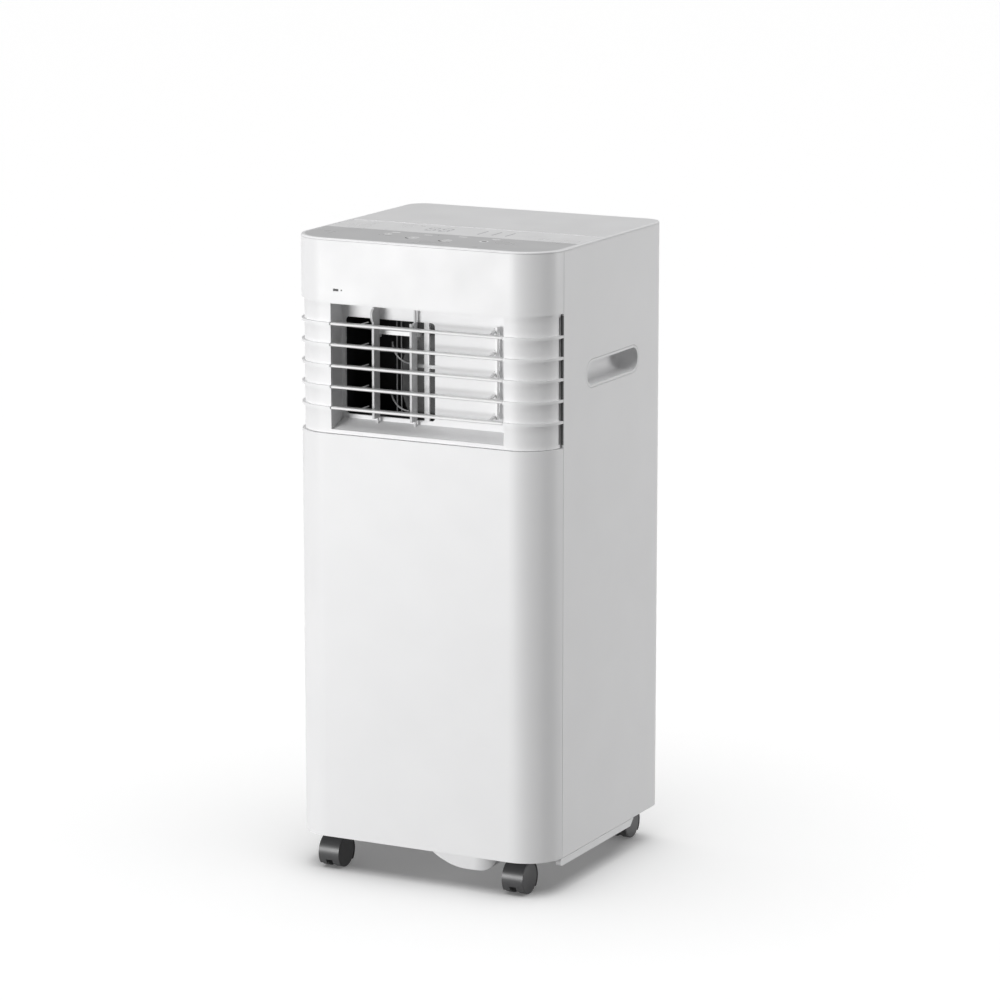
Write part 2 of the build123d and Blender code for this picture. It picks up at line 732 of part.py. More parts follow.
def vane(x, top):
    """Upright vane with pivot pins and the eye for its link; a rounded lobe or a notch tops it."""
    x0 = x - VANE_THICK / 2
    x1 = x + VANE_THICK / 2
    blade = block(x0, x1, VANE_FRONT, VANE_BACK, VANE_BOTTOM, top)
    if top > HOLE_TOP:
        blade += rod("X", LOBE_RADIUS, (x0, LOBE_Y, top - LOBE_RADIUS), VANE_THICK)
    else:
        blade -= vane_notch(x0, top)
    pin_bottom = OPENING_BOTTOM + 4
    blade += rod("Z", PIN_RADIUS, (x, VANE_AXIS_Y, pin_bottom), OPENING_TOP + 1 - pin_bottom)
    lug_top = VANE_LINK_Z - 4 * FIT
    lug_bottom = lug_top - LUG_HEIGHT
    blade += block(x0, x1, VANE_BACK - 1, VANE_LINK_Y, lug_bottom, lug_top)
    return blade + rod("Z", VANE_EYE_RADIUS, (x, VANE_LINK_Y, lug_bottom), LUG_HEIGHT + VANE_LINK_HEIGHT + 1)


def vane_notch(x0, top):
    """V-shaped notch in the top edge of a vane."""
    middle = (NOTCH_FRONT + NOTCH_BACK) / 2
    points = [(middle, top - NOTCH_DEPTH), (NOTCH_BACK, top + 1), (NOTCH_FRONT, top + 1)]
    return extrude(side_plane(x0 - 1) * Polygon(*points, align=None), 2 * VANE_THICK)


def vane_link_bar():
    """Level bar that ties the vanes' eyes together."""
    left = VANE_X[0] - VANE_LINK_END
    right = VANE_X[1] + VANE_LINK_END
    top = VANE_LINK_Z + VANE_LINK_HEIGHT
    bar = block(left, right, VANE_LINK_Y - VANE_LINK_HALF, VANE_LINK_Y + VANE_LINK_HALF, VANE_LINK_Z, top)
    for x in VANE_X:
        hole = (x, VANE_LINK_Y, VANE_LINK_Z - 1)
        bar -= rod("Z", VANE_EYE_RADIUS + PIN_CLEARANCE, hole, 2 * VANE_LINK_HEIGHT)
    return bar


def outlet_guard():
    """Wires across the outlet hole, in front of the fan: level, upright and two bent ones."""
    fit = 2 * FIT
    length = HOLE_RIGHT - HOLE_LEFT - 2 * fit
    height = HOLE_TOP - HOLE_BOTTOM - 2 * fit
    grid = rod("Z", WIRE_RADIUS, (GUARD_UPRIGHTS[0], GUARD_Y, HOLE_BOTTOM + fit), height)
    grid += Pos(GUARD_UPRIGHTS[1] - GUARD_UPRIGHTS[0], 0, 0) * grid
    for height in slat_heights():
        grid += rod("X", WIRE_RADIUS, (HOLE_LEFT + fit, GUARD_Y, height - LOBE_RADIUS), length)
    for x, z in GUARD_ARCS:
        start = (x, GUARD_Y - WIRE_RADIUS, z)
        bend = tube("Y", GUARD_ARC_RADIUS, GUARD_ARC_RADIUS - 2 * WIRE_RADIUS, start, 2 * WIRE_RADIUS)
        grid += bend & block(x - GUARD_ARC_RADIUS, x, -DEPTH, DEPTH, z - GUARD_ARC_RADIUS, z)
    return grid


# Base and casters

def base_tray():
    """Floor of the machine, with outer side lips and sockets for the caster stems."""
    tray = slab(CASE_BOTTOM, CASE_BOTTOM + TRAY_THICK, TRAY_INSET)
    for side in (-1, 1):
        tray += side_lip(side)
    for x, y, _ in CASTERS.values():
        height = STEM_TOP + TRAY_THICK - CASE_BOTTOM
        tray += rod("Z", STEM_RADIUS + SOCKET_WALL, (x, y, CASE_BOTTOM), height)
        tray -= rod("Z", STEM_RADIUS + RUNNING_CLEARANCE, (x, y, CASE_BOTTOM - 1), height - 1)
    return tray


def side_lip(side):
    """Low lip under one side panel, with the web that hangs it from the tray."""
    profile = [
        (LIP_FRONT, LIP_BOTTOM),
        (LIP_REAR - LIP_SLOPE, LIP_BOTTOM),
        (LIP_REAR, LIP_TOP),
        (LIP_FRONT, LIP_TOP),
    ]
    outline = Polygon(*profile, align=None)
    outline = fillet(outline.vertices().sort_by(Axis.Y)[0:2], LIP_BEND)
    web = WIDTH / 2 - TRAY_INSET - LIP_WEB
    start = web if side > 0 else -WIDTH / 2
    lip = extrude(side_plane(start) * outline, WIDTH / 2 - web)
    inner = side * web
    outer = side * (web + LIP_WEB)
    y0 = LIP_FRONT + 2 * LIP_BEND
    y1 = LIP_REAR - LIP_SLOPE
    return lip + block(min(inner, outer), max(inner, outer), y0, y1, LIP_TOP - 2, CASE_BOTTOM + 1)


def sump_form(inset):
    """The bulge's outer form, or its inside when pulled in by inset."""
    profile = [
        (SUMP_LEFT, CASE_BOTTOM),
        (SUMP_LOW_LEFT, SUMP_BOTTOM),
        (SUMP_LOW_RIGHT, SUMP_BOTTOM),
        (SUMP_RIGHT, CASE_BOTTOM),
    ]
    outline = Polygon(*profile, align=None)
    low = outline.vertices().filter_by_position(Axis.Y, 0, SUMP_BOTTOM + 1).sort_by(Axis.X)
    outline = fillet(low[0], SUMP_LEFT_BEND)
    right = outline.vertices().sort_by_distance((SUMP_LOW_RIGHT, SUMP_BOTTOM, 0))[0]
    outline = fillet(right, SUMP_RIGHT_BEND)
    plane = Plane(origin=(0, SUMP_BACK, inset), x_dir=(1, 0, 0), z_dir=(0, -1, 0))
    depth = SUMP_BACK - SUMP_FRONT
    bulge = extrude(plane * outline, depth)
    plan = RectangleRounded(SUMP_RIGHT - SUMP_LEFT - 2 * inset, depth - 2 * inset, SUMP_NOSE - inset)
    middle = ((SUMP_RIGHT + SUMP_LEFT) / 2, (SUMP_BACK + SUMP_FRONT) / 2)
    return bulge & (Pos(*middle, 0) * extrude(plan, CASE_BOTTOM + inset))


def condensate_sump():
    """Smooth open-topped bulge under the front of the tray that collects water."""
    return sump_form(0) - sump_form(SUMP_WALL)


def caster_centre(name):
    """Middle of a caster's axle."""
    x, y, outward = CASTERS[name]
    return x, y + outward * TRAIL, WHEEL_RADIUS


def caster_hood(name):
    """Cover over both wheels, with the middle web that holds the axle."""
    x, y, z = caster_centre(name)
    reach = 3 * HOOD_RADIUS
    hood = tube("X", HOOD_RADIUS, HOOD_INNER, (x - HOOD_HALF, y, z), 2 * HOOD_HALF)
    half_web = WHEEL_GAP / 2 - FRAME_GAP
    hood += rod("X", HOOD_INNER + FRAME_GAP, (x - half_web, y, z), 2 * half_web)
    hood -= block(x - reach, x + reach, y - reach, y + reach, -HOOD_RADIUS, HOOD_BOTTOM)
    hood -= block(x - half_web - 1, x + half_web + 1, y - reach, y + reach, 0, HOOD_NOTCH)
    hood -= rod("X", AXLE_RADIUS + RUNNING_CLEARANCE, (x - HOOD_HALF, y, z), 2 * HOOD_HALF)
    stem_x, stem_y, _ = CASTERS[name]
    neck = rod("Z", NECK_RADIUS, (stem_x, stem_y, NECK_BOTTOM), HOOD_TOP - NECK_BOTTOM)
    hood += neck - rod("X", HOOD_INNER, (x - HOOD_HALF, y, z), 2 * HOOD_HALF)
    return hood - rod("Z", STEM_RADIUS, (stem_x, stem_y, STEM_BOTTOM), STEM_TOP)


def caster_stem(name):
    """Steel pin pressed into the hood; it turns in the tray's socket."""
    x, y, _ = CASTERS[name]
    return rod("Z", STEM_RADIUS, (x, y, STEM_BOTTOM), STEM_TOP - STEM_BOTTOM)


def caster_wheels(name):
    """The two wheels of a caster on the axle that turns in the hood's web."""
    x, y, z = caster_centre(name)
    half_axle = WHEEL_GAP / 2 + WHEEL_WIDTH - 2
    wheels = [rod("X", AXLE_RADIUS, (x - half_axle, y, z), 2 * half_axle)]
    for inner in (x + WHEEL_GAP / 2, x - WHEEL_GAP / 2 - WHEEL_WIDTH):
        wheel = rod("X", WHEEL_RADIUS, (inner, y, z), WHEEL_WIDTH)
        wheel = fillet(wheel.edges().filter_by(GeomType.CIRCLE), WHEEL_EDGE)
        wheels.append(wheel - rod("X", AXLE_RADIUS, (x - half_axle, y, z), 2 * half_axle))
    return Compound(wheels)


# Refrigeration machine

def partition_tray():
    """Shelf between the warm and cold halves, with a raised rim under the evaporator."""
    top = PARTITION_Z + PARTITION_THICK
    plate = slab(PARTITION_Z, top, TRAY_INSET)
    rim = block(-PAN_HALF, PAN_HALF, PAN_FRONT, PAN_BACK, top, top + PAN_HEIGHT)
    inner = PAN_HALF - PAN_WALL
    rim -= block(-inner, inner, PAN_FRONT + PAN_WALL, PAN_BACK - PAN_WALL, top, top + 2 * PAN_HEIGHT)
    plate += rim
    for y in (COMPRESSOR_Y, PIPE_BACK_Y):
        plate -= rod("Z", TUBE_RADIUS + 1, (PIPE_X, y, PARTITION_Z - 1), 2 * PAN_HEIGHT)
    return plate


def rounded_can(radius, bottom, height, edge, x, y):
    """Upright cylinder with rounded ends."""
    can = rod("Z", radius, (x, y, bottom), height)
    return fillet(can.edges().filter_by(GeomType.CIRCLE), edge)


def foot_places():
    """Plan positions of the compressor's three feet, with their angles."""
    places = []
    for angle in FOOT_ANGLES:
        x = COMPRESSOR_X + FOOT_REACH * cos(radians(angle))
        y = COMPRESSOR_Y + FOOT_REACH * sin(radians(angle))
        places.append((x, y, angle))
    return places


def compressor_shell():
    """Welded steel can on a three-legged foot plate."""
    x, y = COMPRESSOR_X, COMPRESSOR_Y
    can = rounded_can(COMPRESSOR_RADIUS, COMPRESSOR_BOTTOM, COMPRESSOR_HEIGHT, CAN_EDGE, x, y)
    foot_z = COMPRESSOR_BOTTOM - SHELL_THICK
    foot = rod("Z", COMPRESSOR_RADIUS - CAN_EDGE, (x, y, foot_z), SHELL_THICK + 1)
    for leg_x, leg_y, angle in foot_places():
        leg = Pos(FOOT_REACH / 2, 0, 0) * Box(FOOT_REACH, FOOT_WIDTH, SHELL_THICK)
        foot += Pos(x, y, foot_z + SHELL_THICK / 2) * Rot(0, 0, angle) * leg
        foot += rod("Z", FOOT_WIDTH / 2, (leg_x, leg_y, foot_z), SHELL_THICK)
        foot -= rod("Z", FOOT_HOLE, (leg_x, leg_y, foot_z - 1), 2 * SHELL_THICK)
    inner_height = COMPRESSOR_HEIGHT - 2 * SHELL_THICK
    inner_bottom = COMPRESSOR_BOTTOM + SHELL_THICK
    inner_radius = COMPRESSOR_RADIUS - SHELL_THICK
    return can + foot - rounded_can(inner_radius, inner_bottom, inner_height, CAN_EDGE - SHELL_THICK, x, y)


def compressor_core():
    """Motor stator and pump block inside the can, on one shaft."""
    x, y = COMPRESSOR_X, COMPRESSOR_Y
    pump = rod("Z", CORE_RADIUS, (x, y, COMPRESSOR_BOTTOM + PUMP_START), PUMP_HEIGHT)
    shaft_start = PUMP_START + PUMP_HEIGHT
    shaft = rod("Z", CORE_SHAFT, (x, y, COMPRESSOR_BOTTOM + shaft_start), STATOR_START - shaft_start)
    stator = rod("Z", CORE_RADIUS, (x, y, COMPRESSOR_BOTTOM + STATOR_START), STATOR_HEIGHT)
    return pump + shaft + stator


def compressor_mounts():
    """Three rubber feet between the tray and the foot plate."""
    floor = CASE_BOTTOM + TRAY_THICK
    height = COMPRESSOR_BOTTOM - SHELL_THICK - floor
    return Compound([tube("Z", BUSH_RADIUS, BUSH_BORE, (x, y, floor), height) for x, y, _ in foot_places()])


def accumulator():
    """Suction bottle beside the compressor."""
    size = (ACCUMULATOR_RADIUS, ACCUMULATOR_BOTTOM, ACCUMULATOR_HEIGHT, ACCUMULATOR_EDGE)
    return rounded_can(*size, ACCUMULATOR_X, COMPRESSOR_Y)


def tube_rows(z_range):
    """Tube centres of one coil, in the plane across the tubes."""
    rows = int((z_range[1] - z_range[0]) // TUBE_PITCH)
    first = (z_range[0] + z_range[1]) / 2 - (rows - 1) * TUBE_PITCH / 2
    columns = (COIL_FRONT + TUBE_EDGE, COIL_FRONT + COIL_DEPTH - TUBE_EDGE)
    return [(y, first + row * TUBE_PITCH) for y in columns for row in range(rows)]


def fin(z_range):
    """One thin fin with its tube holes."""
    centre = Pos(COIL_FRONT + COIL_DEPTH / 2, (z_range[0] + z_range[1]) / 2)
    sheet = centre * Rectangle(COIL_DEPTH, z_range[1] - z_range[0])
    for y, z in tube_rows(z_range):
        sheet -= Pos(y, z) * Circle(TUBE_RADIUS + 2 * FIT)
    return extrude(side_plane(0) * sheet, FIN_THICK)


def coil_fins():
    """Fin stacks of the evaporator and the condenser."""
    stacks = []
    count = int(2 * COIL_HALF // FIN_PITCH)
    for z_range in (EVAPORATOR, CONDENSER):
        one = fin(z_range)
        stacks += [Pos(-COIL_HALF + index * FIN_PITCH, 0, 0) * one for index in range(count + 1)]
    return Compound(stacks)


def return_bend(side, y, z0):
    """Half-round bend that joins two neighbouring tubes of a coil."""
    x = side * (COIL_HALF + COIL_STUB)
    section = Circle(TUBE_RADIUS) - Circle(TUBE_RADIUS - TUBE_WALL)
    plane = Plane(origin=(x, y, z0), x_dir=(0, 1, 0), z_dir=(1, 0, 0))
    axis = Axis((x, y, z0 + TUBE_PITCH / 2), (0, 1, 0))
    return revolve(plane * section, axis, -180 * side)


def coil_tubes():
    """Straight tubes and return bends of both coils."""
    pieces = []
    reach = COIL_HALF + COIL_STUB
    for z_range in (EVAPORATOR, CONDENSER):
        centres = tube_rows(z_range)
        for y, z in centres:
            pieces.append(tube("X", TUBE_RADIUS, TUBE_RADIUS - TUBE_WALL, (-reach, y, z), 2 * reach))
        for index, (y, z) in enumerate(centres[:-1]):
            if centres[index + 1][0] == y:
                pieces.append(return_bend(1 if index % 2 else -1, y, z))
    return Compound(pieces)


def pipe(points):
    """A bent refrigerant pipe through the given points."""
    path = FilletPolyline(*points, radius=PIPE_BEND)
    start = Plane(origin=path @ 0, z_dir=path % 0)
    section = start * (Circle(TUBE_RADIUS) - Circle(TUBE_RADIUS - TUBE_WALL))
    return sweep(section, path=path)


def refrigerant_pipes():
    """Discharge, suction and liquid lines between the compressor and the coils."""
    x, y = COMPRESSOR_X, COMPRESSOR_Y
    top = COMPRESSOR_BOTTOM + COMPRESSOR_HEIGHT + FRAME_GAP
    run = top + 3 * PIPE_BEND
    discharge = pipe([(x, y, top), (x, y, run), (-PIPE_X, y, run), (-PIPE_X, PIPE_BACK_Y, run)])
    bottle_top = ACCUMULATOR_BOTTOM + ACCUMULATOR_HEIGHT + FRAME_GAP
    turn = bottle_top + 4 * PIPE_BEND
    end = PARTITION_Z + 3 * PIPE_BEND
    bottle_x = ACCUMULATOR_X
    suction = pipe([(bottle_x, y, bottle_top), (bottle_x, y, turn), (PIPE_X, y, turn), (PIPE_X, y, end)])
    liquid_start = (PIPE_X, PIPE_BACK_Y, ACCUMULATOR_HEIGHT)
    liquid = tube("Z", TUBE_RADIUS, TUBE_RADIUS - TUBE_WALL, liquid_start, end - ACCUMULATOR_HEIGHT)
    return Compound([discharge, suction, liquid])


def fan_wheel(centre, radius, span, shaft):
    """Centrifugal wheel on its shaft: back disc, front ring, blades and hub."""
    x, z = centre
    y0, y1 = span
    wheel = rod("Y", radius, (x, y0, z), FAN_DISC)
    wheel += tube("Y", radius, radius - FAN_RING, (x, y1 - FAN_DISC, z), FAN_DISC)
    wheel += rod("Y", FAN_HUB, (x, y0, z), FAN_HUB_LENGTH)
    length, thick = BLADE_SIZE
    for index in range(BLADE_COUNT):
        turn = Pos(x, 0, z) * Rot(0, index * 360 / BLADE_COUNT, 0)
        place = Pos(radius - length / 2 - thick, (y0 + y1) / 2, 0) * Rot(0, BLADE_TURN, 0)
        wheel += turn * place * Box(length, y1 - y0 - FAN_DISC / 2, thick)
    start, shaft_length = shaft
    axle = rod("Y", SHAFT_RADIUS, (x, start, z), shaft_length)
    return Compound([wheel - rod("Y", SHAFT_RADIUS, (x, y0 - 1, z), y1 - y0 + 2), axle])


def cond_fan_housing():
    """Box round the condenser fan, open to the exhaust collar."""
    x, z = COND_FAN
    half_x, half_z, y0, y1 = COND_BOX
    shell = block(x - half_x, x + half_x, y0, y1, z - half_z, z + half_z)
    half_x -= SHEET
    half_z -= SHEET
    shell -= block(x - half_x, x + half_x, y0 + SHEET, y1 - SHEET, z - half_z, z + half_z)
    shell -= rod("Y", COND_INLET, (x, y0 - 1, z), 2 * SHEET)
    return shell - rod("Y", EXHAUST_RADIUS, (x, y1 - SHEET - 1, z), 2 * SHEET)


def evap_fan_housing():
    """Box round the evaporator fan, with an inlet at the back and a spout to the outlet hole."""
    x, z = EVAP_FAN
    half = EVAP_BOX_HALF
    height = EVAP_BOX_HEIGHT
    shell = block(-half, half, EVAP_BOX_FRONT, EVAP_BOX_BACK, z - height, z + height)
    half -= SHEET
    height -= SHEET
    shell -= block(-half, half, EVAP_BOX_FRONT + SHEET, EVAP_BOX_BACK - SHEET, z - height, z + height)
    left = HOLE_LEFT - SHEET
    right = HOLE_RIGHT + SHEET
    duct_top = HOLE_TOP + 2 * SHEET
    duct_front = CHAMBER_BACK + 2 * FIT
    shell += block(left, right, duct_front, EVAP_BOX_FRONT + 1, HOLE_BOTTOM - SHEET, duct_top + SHEET)
    shell -= block(HOLE_LEFT, HOLE_RIGHT, CHAMBER_BACK - 1, EVAP_BOX_FRONT + 2 * SHEET, HOLE_BOTTOM, duct_top)
    return shell - rod("Y", EVAP_INLET, (x, EVAP_BOX_BACK - 2 * SHEET, z), 3 * SHEET)


def fan_motor(centre, span):
    """Round motor can with a shaft hole and a mounting strap."""
    x, z = centre
    y0, y1 = span
    can = rod("Y", MOTOR_RADIUS, (x, y0, z), y1 - y0)
    can = fillet(can.edges().filter_by(GeomType.CIRCLE), MOTOR_EDGE)
    middle = (y0 + y1) / 2
    strap = block(x - STRAP_HALF, x + STRAP_HALF, middle - SHEET, middle + SHEET, z - 3 * SHEET, z + 3 * SHEET)
    return can + strap - rod("Y", SHAFT_RADIUS + RUNNING_CLEARANCE, (x, y0 - 1, z), y1 - y0 + 2)


def fan_motors():
    """Both fan motors."""
    return Compound([fan_motor(COND_FAN, COND_MOTOR), fan_motor(EVAP_FAN, EVAP_MOTOR)])


def control_box():
    """Open tray that carries the main circuit board."""
    x0, x1, y0, y1, z0, z1 = CONTROL_BOX
    inside = block(x0 + SHEET, x1 - SHEET, y0 + SHEET, y1 - SHEET, z0 + SHEET, z1 + 1)
    return block(*CONTROL_BOX) - inside


def circuit_boards():
    """Main board in the control box and display board under the lid."""
    board_top = MAIN_BOARD[5]
    x, y, radius, height = CAPACITOR
    main = block(*MAIN_BOARD) + rod("Z", radius, (x, y, board_top), height)
    x0, x1, y0, y1, height = TRANSFORMER
    main += block(x0, x1, y0, y1, board_top, board_top + height)
    display = block(*DISPLAY_BOARD)
    for x, y in KEY_PLACES:
        display += rod("Z", KEY_RADIUS, (x, y, DISPLAY_BOARD[5]), KEY_HEIGHT)
    return Compound([main, display])


def save_casing():
    """Write the casing's nodes."""
    save("lower_front_panel", lower_front_panel())
    save("louvre_band", louvre_band())
    save("upper_front_panel", upper_front_panel())
    save("receiver_window", receiver_window())
    save("left_side_panel", side_panel(-1))
    save("right_side_panel", side_panel(1))
    save("handle_cups", handle_cups())
    save("rear_panel", rear_panel())
    save("rear_screws", rear_screws())
    save("exhaust_collar", exhaust_collar())
    for level, z_range in (("upper", UPPER_GRILLE), ("lower", LOWER_GRILLE)):
        save(f"{level}_filter_frame", filter_frame(z_range))
        save(f"{level}_filter_mesh", filter_mesh(z_range))
    save("drain_port", drain_port())
    save("drain_cap", drain_cap())
    save("cable_gland", cable_gland())
    save("top_cover", top_cover())
    save("control_strip", strip(FRONT, STRIP_SPLIT_Y))
    save("display_strip", strip(STRIP_SPLIT_Y, DISPLAY_BACK_Y))


def save_outlet():
    """Write the outlet's nodes."""
    for number, height in enumerate(slat_heights(), start=1):
        save(f"slat_{number}", slat(height))
    save("slat_link_bar", slat_link_bar())
    save("outlet_chamber", outlet_chamber())
    for number, (x, top) in enumerate(zip(VANE_X, VANE_TOPS), start=1):
        save(f"vane_{number}", vane(x, top))
    save("vane_link_bar", vane_link_bar())
    save("outlet_guard", outlet_guard())


def save_base():
    """Write the base's and the casters' nodes."""
    save("base_tray", base_tray())
    save("condensate_sump", condensate_sump())
    for name in CASTERS:
        save(f"caster_{name}_hood", caster_hood(name))
        save(f"caster_{name}_stem", caster_stem(name))
        save(f"caster_{name}_wheels", caster_wheels(name))


def save_machine():
    """Write the nodes of the machine inside."""
    save("partition_tray", partition_tray())
    save("compressor_shell", compressor_shell())
    save("compressor_core", compressor_core())
    save("compressor_mounts", compressor_mounts())
    save("accumulator", accumulator())
    save("coil_fins", coil_fins())
    save("coil_tubes", coil_tubes())
    save("refrigerant_pipes", refrigerant_pipes())
    save("cond_fan_housing", cond_fan_housing())
    save("cond_fan_wheel", fan_wheel(COND_FAN, COND_FAN_RADIUS, COND_FAN_SPAN, COND_SHAFT))
    save("evap_fan_housing", evap_fan_housing())
    save("evap_fan_wheel", fan_wheel(EVAP_FAN, EVAP_FAN_RADIUS, EVAP_FAN_SPAN, EVAP_SHAFT))
    save("fan_motors", fan_motors())
    save("control_box", control_box())
    save("circuit_boards", circuit_boards())


save_casing()
save_outlet()
save_base()
save_machine()
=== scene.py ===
"""Looks for the portable air conditioner: materials, marks, painted shade strips, studio and
camera.
"""
import json
import math

import bpy
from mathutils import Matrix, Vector


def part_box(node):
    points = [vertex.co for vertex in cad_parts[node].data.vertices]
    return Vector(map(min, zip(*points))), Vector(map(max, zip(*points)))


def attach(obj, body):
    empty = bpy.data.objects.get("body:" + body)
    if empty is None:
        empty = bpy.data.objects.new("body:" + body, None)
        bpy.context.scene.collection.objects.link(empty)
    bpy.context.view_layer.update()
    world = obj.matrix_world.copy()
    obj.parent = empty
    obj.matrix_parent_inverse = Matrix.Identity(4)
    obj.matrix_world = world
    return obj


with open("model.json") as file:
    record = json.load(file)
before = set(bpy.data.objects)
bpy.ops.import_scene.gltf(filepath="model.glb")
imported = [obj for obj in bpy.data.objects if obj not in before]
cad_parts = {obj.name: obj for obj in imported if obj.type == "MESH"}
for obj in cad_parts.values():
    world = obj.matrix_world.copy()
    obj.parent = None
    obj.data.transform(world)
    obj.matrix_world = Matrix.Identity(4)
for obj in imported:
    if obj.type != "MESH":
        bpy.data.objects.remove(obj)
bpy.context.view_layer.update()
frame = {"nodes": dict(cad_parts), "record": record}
NODES = frame["nodes"]
MM = 0.001

# Camera: the direction it looks from, its distance and lens
CAMERA_AZIMUTH = 27.04
CAMERA_ELEVATION = 11.75
CAMERA_DISTANCE = 4.471
CAMERA_AIM = (0.0218, 0.0071, 0.3851)
CAMERA_LENS = 152.4
CAMERA_SENSOR = 36
CAMERA_CLIP_END = 200

# Studio: each soft box has its azimuth, elevation, width and height in metres, and irradiance
KEY_BOX = (-28, 4, (1.6, 1.3), 2.5)
SIDE_BOX = (115, 8, (1.2, 2.4), 1.45)
SOFT_BOX_DISTANCE = 3.5
LIGHT_AIM_Z = 0.35
OVERHEAD_ENERGY = 2.0
FLOOR_LIGHT_ENERGY = 0.5
SUN_SPREAD = 75
SUN_DISTANCE = 3
SURROUND_STRENGTH = 0.15
FLOOR_HALF = 60
FLOOR_GLOW = 0.1

# How far the printed marks and painted key shadows stand above the strips and reach into them
MARK_LIFT = 0.12 * MM

# Painted shade strips in the louvre band's recess, in metres
RIB_HALF = 0.0016
SLAT_LOW = 0.0015
SHADE_STRIP_RECESS = 0.0028
SHADE_STRIP_SINK = 0.0002
SHADE_STRIP_WIDTH = 0.0012


# Materials

class Material:
    """A node material with short helpers for procedural detail in object space."""

    def __init__(self, name, color, roughness, metallic=0.0):
        self.material = bpy.data.materials.new(name)
        self.material.use_nodes = True
        self.nodes = self.material.node_tree.nodes
        self.links = self.material.node_tree.links
        self.shader = self.nodes["Principled BSDF"]
        self.shader.inputs["Base Color"].default_value = (*color, 1)
        self.shader.inputs["Roughness"].default_value = roughness
        self.shader.inputs["Metallic"].default_value = metallic
        self.color = color
        self.roughness = roughness
        self.place = self.nodes.new("ShaderNodeTexCoord").outputs["Object"]

    def noise(self, scale, detail=3.0, stretch=(1, 1, 1)):
        """Noise with its features about 1 / scale metres across."""
        mapping = self.nodes.new("ShaderNodeMapping")
        mapping.inputs["Scale"].default_value = stretch
        self.links.new(self.place, mapping.inputs["Vector"])
        texture = self.nodes.new("ShaderNodeTexNoise")
        texture.inputs["Scale"].default_value = scale
        texture.inputs["Detail"].default_value = detail
        self.links.new(mapping.outputs["Vector"], texture.inputs["Vector"])
        return texture.outputs["Fac"]

    def spread(self, source, low, high):
        """Maps noise to a range of values."""
        ramp = self.nodes.new("ShaderNodeMapRange")
        ramp.inputs["From Min"].default_value = 0.3
        ramp.inputs["From Max"].default_value = 0.7
        ramp.inputs["To Min"].default_value = low
        ramp.inputs["To Max"].default_value = high
        self.links.new(source, ramp.inputs["Value"])
        return ramp.outputs["Result"]

    def mottle(self, source, amount):
        """Varies the base colour a little."""
        mix = self.nodes.new("ShaderNodeMix")
        mix.data_type = "RGBA"
        mix.inputs["A"].default_value = (*[channel * (1 - amount) for channel in self.color], 1)
        lighter = [min(1, channel * (1 + amount)) for channel in self.color]
        mix.inputs["B"].default_value = (*lighter, 1)
        self.links.new(self.spread(source, 0, 1), mix.inputs["Factor"])
        self.links.new(mix.outputs["Result"], self.shader.inputs["Base Color"])
        return self

    def vary_roughness(self, source, amount):
        """Varies the roughness a little."""
        value = self.spread(source, self.roughness - amount, self.roughness + amount)
        self.links.new(value, self.shader.inputs["Roughness"])
        return self

    def bump(self, source, height, strength=1.0):
        """Raises the surface by a texture, height in metres."""
        bump = self.nodes.new("ShaderNodeBump")
        bump.inputs["Strength"].default_value = strength
        bump.inputs["Distance"].default_value = height
        self.links.new(source, bump.inputs["Height"])
        self.links.new(bump.outputs["Normal"], self.shader.inputs["Normal"])
        return self

    def coat(self, weight, roughness):
        """A clear gloss over the colour."""
        self.shader.inputs["Coat Weight"].default_value = weight
        self.shader.inputs["Coat Roughness"].default_value = roughness
        return self


def moulded(name, color, roughness, grain=900, depth=0.00003, amount=0.012):
    """Injection-moulded plastic: spark-eroded grain, faint flow mottling and uneven gloss."""
    material = Material(name, color, roughness)
    material.mottle(material.noise(14, 4), amount)
    material.vary_roughness(material.noise(30, 3), 0.04)
    return material.bump(material.noise(grain, 2), depth, 0.5)


def glossy(name, color):
    """Smooth moulded plastic under a thin clear gloss."""
    return moulded(name, color, 0.3, 1600, 0.00001).coat(0.1, 0.12)


